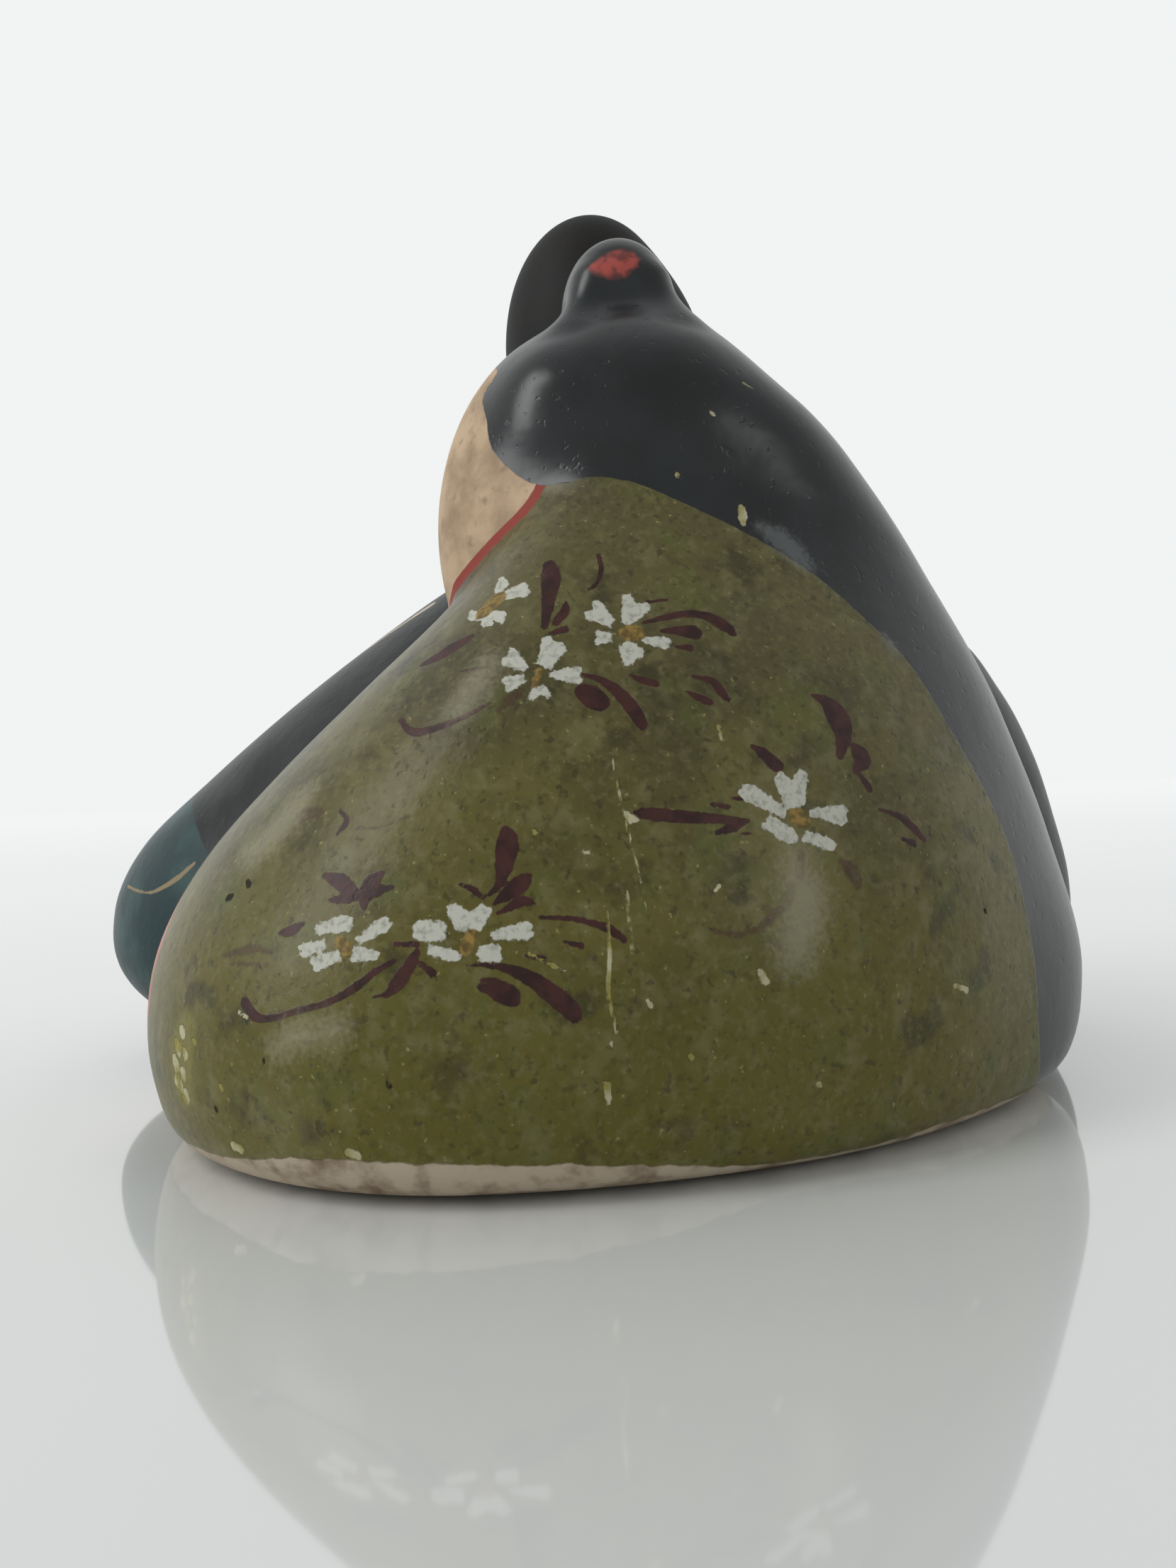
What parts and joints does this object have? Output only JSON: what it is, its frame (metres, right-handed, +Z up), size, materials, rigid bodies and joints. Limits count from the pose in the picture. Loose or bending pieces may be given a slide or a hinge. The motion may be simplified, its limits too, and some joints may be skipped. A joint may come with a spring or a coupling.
{
  "type": "hina doll couple",
  "caption": "Lady and lord of a small hina set, moulded in one piece of fired clay and painted, leaning on each other.",
  "frame": {"origin": "middle of the box around the figure, on the flat underside", "axes": "+Z up, the dolls face -Y, the lady is on the +X side and the lord on the -X side"},
  "size_m": [0.0824, 0.0918, 0.0786],
  "materials": {
    "painted_clay": "fired clay with a whitened ground under hand-painted colours, worn to a soft satin"
  },
  "bodies": {
    "root": {"hina_couple": "painted_clay"}
  },
  "joints": []
}
